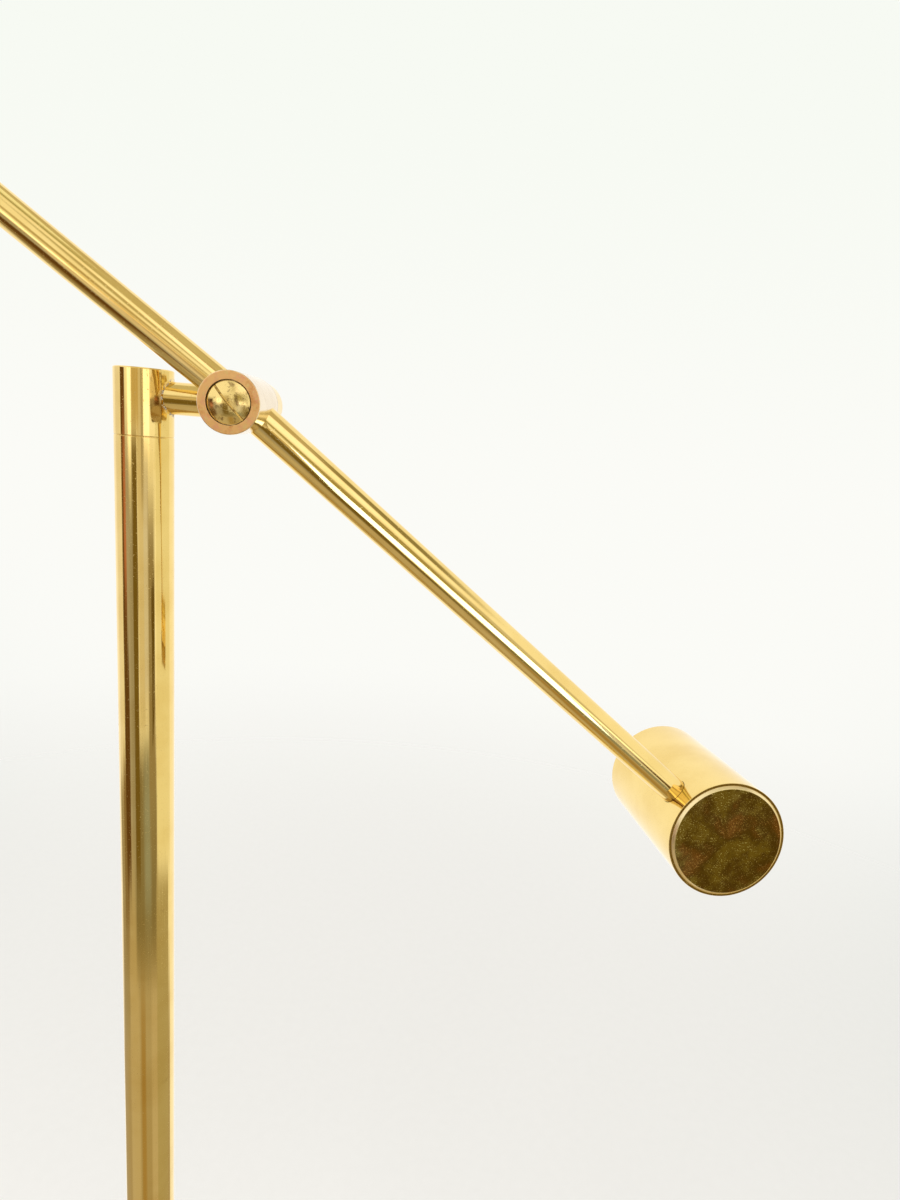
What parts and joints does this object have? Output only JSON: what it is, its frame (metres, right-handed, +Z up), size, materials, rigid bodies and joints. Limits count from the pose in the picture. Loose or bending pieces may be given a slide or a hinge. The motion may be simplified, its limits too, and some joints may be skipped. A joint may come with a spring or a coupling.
{
  "type": "floor lamp",
  "caption": "Counterbalance floor lamp in brass with a round weighted base, tall pole, swivelling stub, pivoted arm with a cylindrical weight, and a tilting dome shade",
  "frame": {"origin": "the middle of the flat underside of the base, on the floor and on the pole's axis", "axes": "+Z is up along the pole, +X runs from the pole along the stub to the arm's pivot, and the arm moves in a plane on the -Y side of the pole"},
  "size_m": [0.8425, 0.2815, 1.5291],
  "materials": {
    "brass_polished": "polished and lacquered",
    "brass_satin": "turned, slightly tarnished",
    "steel": "zinc plated",
    "cast_iron": "as cast",
    "felt": "pressed felt",
    "black_plastic": "moulded",
    "fibre": "pressed fibre",
    "cap_aluminium": "rolled",
    "opal_glass": "opal"
  },
  "bodies": {
    "base": {"base_pad": "felt", "base_weight": "cast_iron", "base_cover": "brass_polished", "cord_inlet_bush": "black_plastic", "base_collar": "brass_polished", "foot_plug": "brass_satin", "foot_nipple": "steel", "foot_washer": "steel", "foot_nut": "steel", "pole_tube": "brass_polished", "swivel_bush": "brass_satin"},
    "swivel": {"swivel_washer": "brass_satin", "swivel_cap": "brass_polished", "swivel_spindle": "steel", "swivel_stop_pin": "steel", "swivel_thrust_washer": "steel", "swivel_spring_washer": "steel", "swivel_nut": "steel", "swivel_grub_screw": "steel", "stub_tube": "brass_polished", "knuckle_boss": "brass_polished", "knuckle_friction_washer": "fibre", "knuckle_screw": "brass_satin", "knuckle_spring_washer": "steel", "knuckle_lock_nut": "steel", "knuckle_rear_plug": "brass_polished"},
    "arm": {"knuckle_barrel": "brass_polished", "front_arm": "brass_polished", "front_arm_spigot": "brass_satin", "front_arm_end_spigot": "brass_satin", "rear_arm": "brass_polished", "rear_arm_spigot": "brass_satin", "rear_arm_plug": "brass_satin", "weight_stud": "steel", "weight_sleeve": "brass_polished", "weight_core": "steel", "weight_front_cap": "brass_polished", "weight_rear_cap": "brass_polished", "head_boss": "brass_polished", "head_screw": "brass_satin", "head_spring_washer": "steel"},
    "head": {"head_friction_washer": "fibre", "head_barrel": "brass_polished", "head_stem": "brass_polished", "stem_nut": "steel", "socket_housing": "brass_polished", "switch_body": "black_plastic", "lampholder": "black_plastic", "lampholder_shell": "brass_satin", "lampholder_contact": "brass_satin", "bulb_cap": "cap_aluminium", "bulb_glass": "opal_glass", "shade": "brass_polished", "shade_ring": "black_plastic"},
    "switch": {"switch_knob": "black_plastic"}
  },
  "joints": [
    {"name": "swivel_turn", "type": "hinge", "parent": "base", "child": "swivel", "pos_m": [0, 0, 1.15], "axis": [0, 0, 1], "range_deg": [-165, 165]},
    {"name": "arm_tilt", "type": "hinge", "parent": "swivel", "child": "arm", "pos_m": [0.0475, -0.0203, 1.1671], "axis": [0, 1, 0], "range_deg": [-60, 45]},
    {"name": "shade_tilt", "type": "hinge", "parent": "arm", "child": "head", "pos_m": [-0.45034, -0.0203, 1.51959], "axis": [0, 1, 0], "range_deg": [-18, 100]},
    {"name": "switch_turn", "type": "hinge", "parent": "head", "child": "switch", "pos_m": [-0.47534, -0.0059, 1.45659], "axis": [1, 0, 0], "range_deg": [0, 90]}
  ]
}
